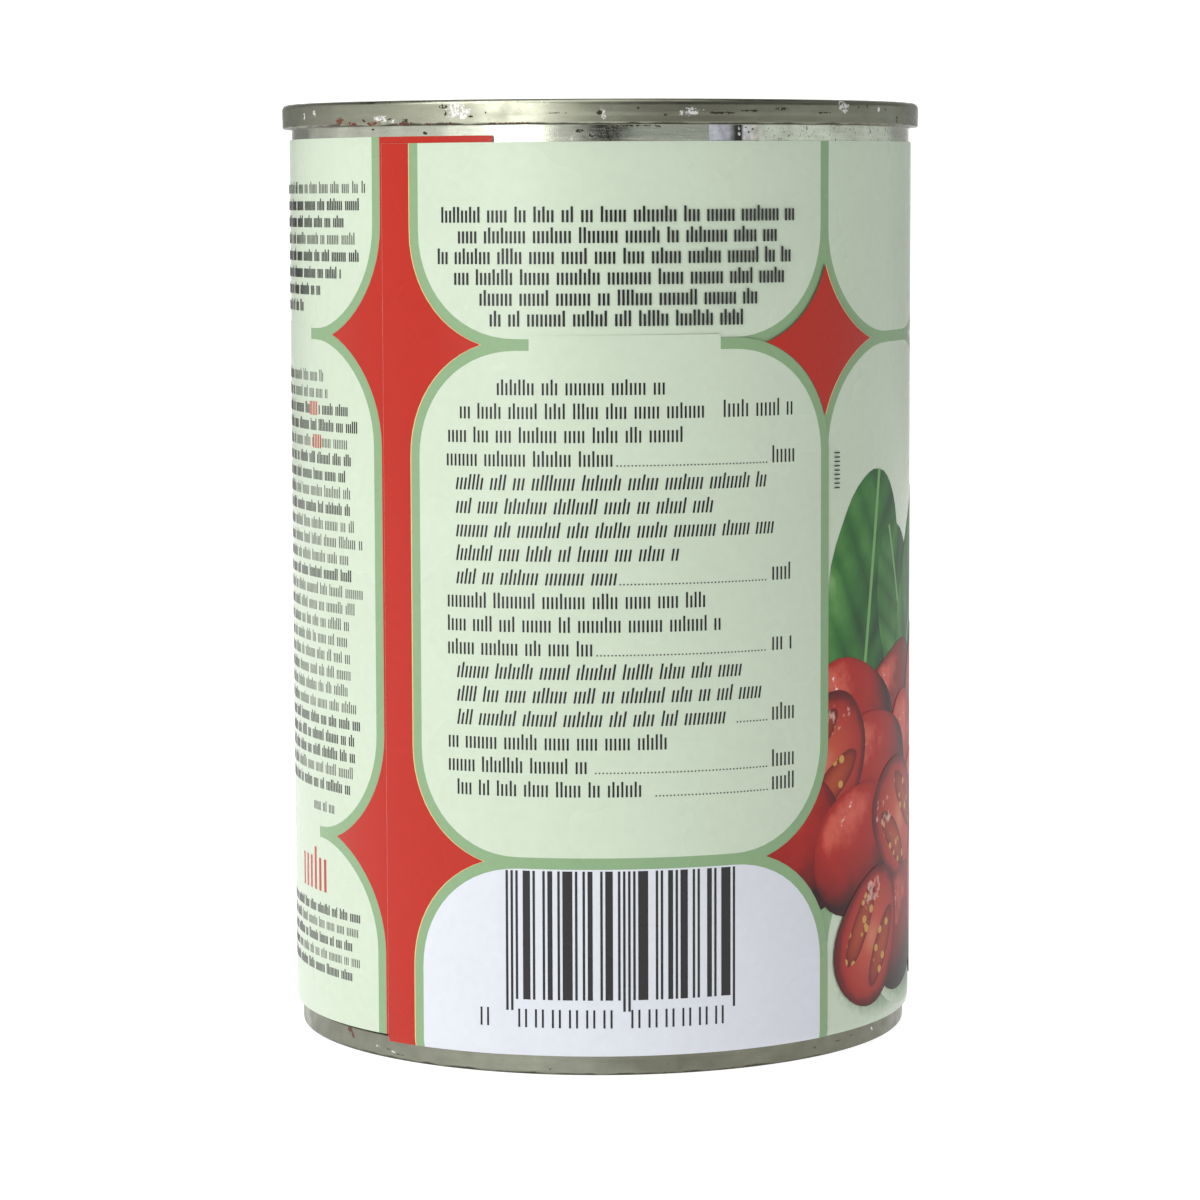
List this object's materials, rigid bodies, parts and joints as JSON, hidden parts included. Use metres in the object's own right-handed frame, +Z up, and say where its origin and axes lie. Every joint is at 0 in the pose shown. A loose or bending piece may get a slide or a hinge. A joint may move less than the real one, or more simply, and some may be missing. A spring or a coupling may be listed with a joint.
{
  "type": "tin of tomatoes",
  "caption": "Round sealed steel food tin with double-seamed ends, a narrower stacking foot and a wrap-round printed paper label.",
  "frame": {"origin": "middle of the foot rim, on the surface that the tin stands on", "axes": "+Z up along the tin's axis, and the middle of the label's shown side faces -Y"},
  "size_m": [0.0758, 0.0758, 0.11],
  "materials": {
    "body_tinplate": "bright tinplate, faintly streaked along the rolling direction",
    "end_tinplate": "satin tinplate, scuffed on the rims, with spots of rust",
    "printed_paper": "coated label paper with a slight gloss, pale green and red print"
  },
  "bodies": {
    "root": {"tin_body": "body_tinplate", "top_end": "end_tinplate", "bottom_end": "end_tinplate", "paper_label": "printed_paper"}
  },
  "joints": []
}
